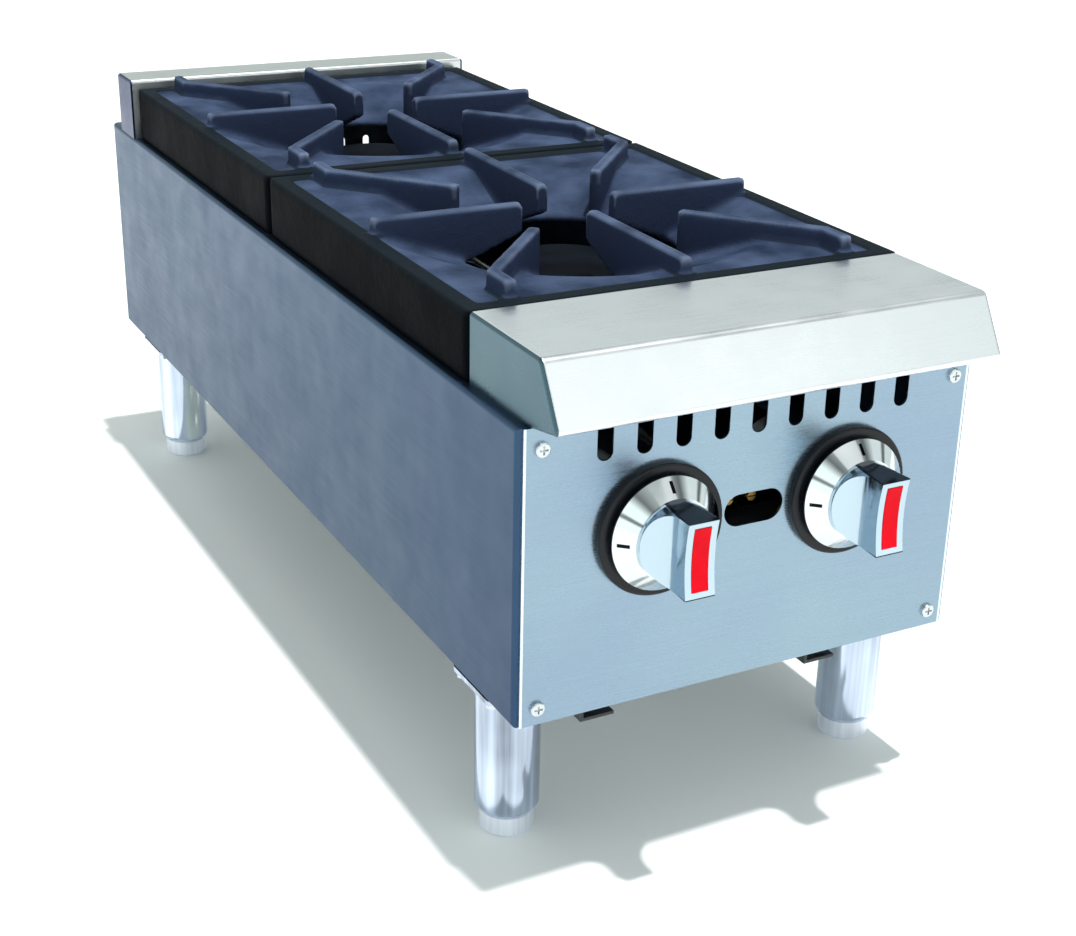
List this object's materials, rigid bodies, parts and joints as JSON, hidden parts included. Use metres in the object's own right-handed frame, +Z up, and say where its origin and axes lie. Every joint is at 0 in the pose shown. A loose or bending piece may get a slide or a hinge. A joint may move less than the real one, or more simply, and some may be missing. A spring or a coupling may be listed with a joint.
{
  "type": "gas hot plate",
  "caption": "Narrow countertop gas hot plate: square cast grates in line over round burners, bullnose front ledge, bar knobs on a vented panel, and tubular legs with screw feet.",
  "frame": {"origin": "on the counter under the middle of the outline, knob faces to gas inlet", "axes": "+X to the right seen from the front, +Y to the rear, +Z up"},
  "size_m": [0.305, 0.864, 0.339],
  "materials": {
    "enamelled_steel": "satin",
    "brushed_stainless": "brushed along the width",
    "galvanised": "dull zinc",
    "cast_iron": "sand cast, matt",
    "black_pipe": "lacquered",
    "brass": "machined",
    "copper_tube": "drawn",
    "chrome": "polished",
    "bezel_black": "gloss",
    "strip_red": "gloss",
    "zinc_screws": "zinc plated"
  },
  "bodies": {
    "chassis": {"left_side_panel": "enamelled_steel", "right_side_panel": "enamelled_steel", "front_panel": "brushed_stainless", "rear_panel": "galvanised", "rear_riser": "brushed_stainless", "front_ledge": "brushed_stainless", "bottom_pan": "galvanised", "front_burner_bracket": "galvanised", "rear_burner_bracket": "galvanised", "front_burner_body": "cast_iron", "rear_burner_body": "cast_iron", "gas_manifold": "black_pipe", "manifold_plug": "black_pipe", "inlet_collar": "galvanised", "manifold_bracket": "galvanised", "pilot_valve": "brass", "front_pilot_tube": "copper_tube", "rear_pilot_tube": "copper_tube", "front_pilot_tip": "brass", "rear_pilot_tip": "brass", "front_panel_screws": "zinc_screws", "rear_panel_screws": "zinc_screws", "leg_bolts": "zinc_screws", "under_clips": "black_pipe", "left_gas_valve": "brass", "left_orifice_hood": "brass", "left_knob_bezel": "bezel_black", "right_gas_valve": "brass", "right_orifice_hood": "brass", "right_knob_bezel": "bezel_black", "front_left_leg": "chrome", "front_right_leg": "chrome", "rear_left_leg": "chrome", "rear_right_leg": "chrome"},
    "left_knob": {"left_valve_stem": "brass", "left_knob_dial": "chrome", "left_knob_grip": "chrome", "left_knob_strip": "strip_red"},
    "right_knob": {"right_valve_stem": "brass", "right_knob_dial": "chrome", "right_knob_grip": "chrome", "right_knob_strip": "strip_red"},
    "left_pilot_adjuster": {"left_pilot_screw": "brass"},
    "right_pilot_adjuster": {"right_pilot_screw": "brass"},
    "front_pan_grate": {"front_grate": "cast_iron"},
    "rear_pan_grate": {"rear_grate": "cast_iron"},
    "front_cap": {"front_burner_cap": "cast_iron"},
    "rear_cap": {"rear_burner_cap": "cast_iron"},
    "front_shutter": {"front_air_shutter": "galvanised"},
    "rear_shutter": {"rear_air_shutter": "galvanised"},
    "front_left_foot_pad": {"front_left_foot": "chrome"},
    "front_right_foot_pad": {"front_right_foot": "chrome"},
    "rear_left_foot_pad": {"rear_left_foot": "chrome"},
    "rear_right_foot_pad": {"rear_right_foot": "chrome"}
  },
  "joints": [
    {"name": "left_knob_turn", "type": "hinge", "parent": "chassis", "child": "left_knob", "pos_m": [-0.064, -0.385, 0.213], "axis": [0, -1, 0], "range_deg": [0, 90]},
    {"name": "right_knob_turn", "type": "hinge", "parent": "chassis", "child": "right_knob", "pos_m": [0.064, -0.385, 0.213], "axis": [0, -1, 0], "range_deg": [0, 90]},
    {"name": "left_pilot_screw_turn", "type": "hinge", "parent": "chassis", "child": "left_pilot_adjuster", "pos_m": [-0.008, -0.355, 0.213], "axis": [0, -1, 0], "range_deg": [0, 360]},
    {"name": "right_pilot_screw_turn", "type": "hinge", "parent": "chassis", "child": "right_pilot_adjuster", "pos_m": [0.008, -0.355, 0.213], "axis": [0, -1, 0], "range_deg": [0, 360]},
    {"name": "front_grate_lift", "type": "slide", "parent": "chassis", "child": "front_pan_grate", "axis": [0, 0, 1], "range_m": [0, 0.08]},
    {"name": "rear_grate_lift", "type": "slide", "parent": "chassis", "child": "rear_pan_grate", "axis": [0, 0, 1], "range_m": [0, 0.08]},
    {"name": "front_cap_lift", "type": "slide", "parent": "chassis", "child": "front_cap", "axis": [0, 0, 1], "range_m": [0, 0.015]},
    {"name": "rear_cap_lift", "type": "slide", "parent": "chassis", "child": "rear_cap", "axis": [0, 0, 1], "range_m": [0, 0.015]},
    {"name": "front_shutter_turn", "type": "hinge", "parent": "chassis", "child": "front_shutter", "pos_m": [-0.064, -0.315, 0.213], "axis": [0, 1, 0], "range_deg": [0, 60]},
    {"name": "rear_shutter_turn", "type": "hinge", "parent": "chassis", "child": "rear_shutter", "pos_m": [0.064, -0.315, 0.213], "axis": [0, 1, 0], "range_deg": [0, 60]},
    {"name": "front_left_foot_screw", "type": "slide", "parent": "chassis", "child": "front_left_foot_pad", "axis": [0, 0, -1], "range_m": [0, 0.025]},
    {"name": "front_right_foot_screw", "type": "slide", "parent": "chassis", "child": "front_right_foot_pad", "axis": [0, 0, -1], "range_m": [0, 0.025]},
    {"name": "rear_left_foot_screw", "type": "slide", "parent": "chassis", "child": "rear_left_foot_pad", "axis": [0, 0, -1], "range_m": [0, 0.025]},
    {"name": "rear_right_foot_screw", "type": "slide", "parent": "chassis", "child": "rear_right_foot_pad", "axis": [0, 0, -1], "range_m": [0, 0.025]}
  ]
}
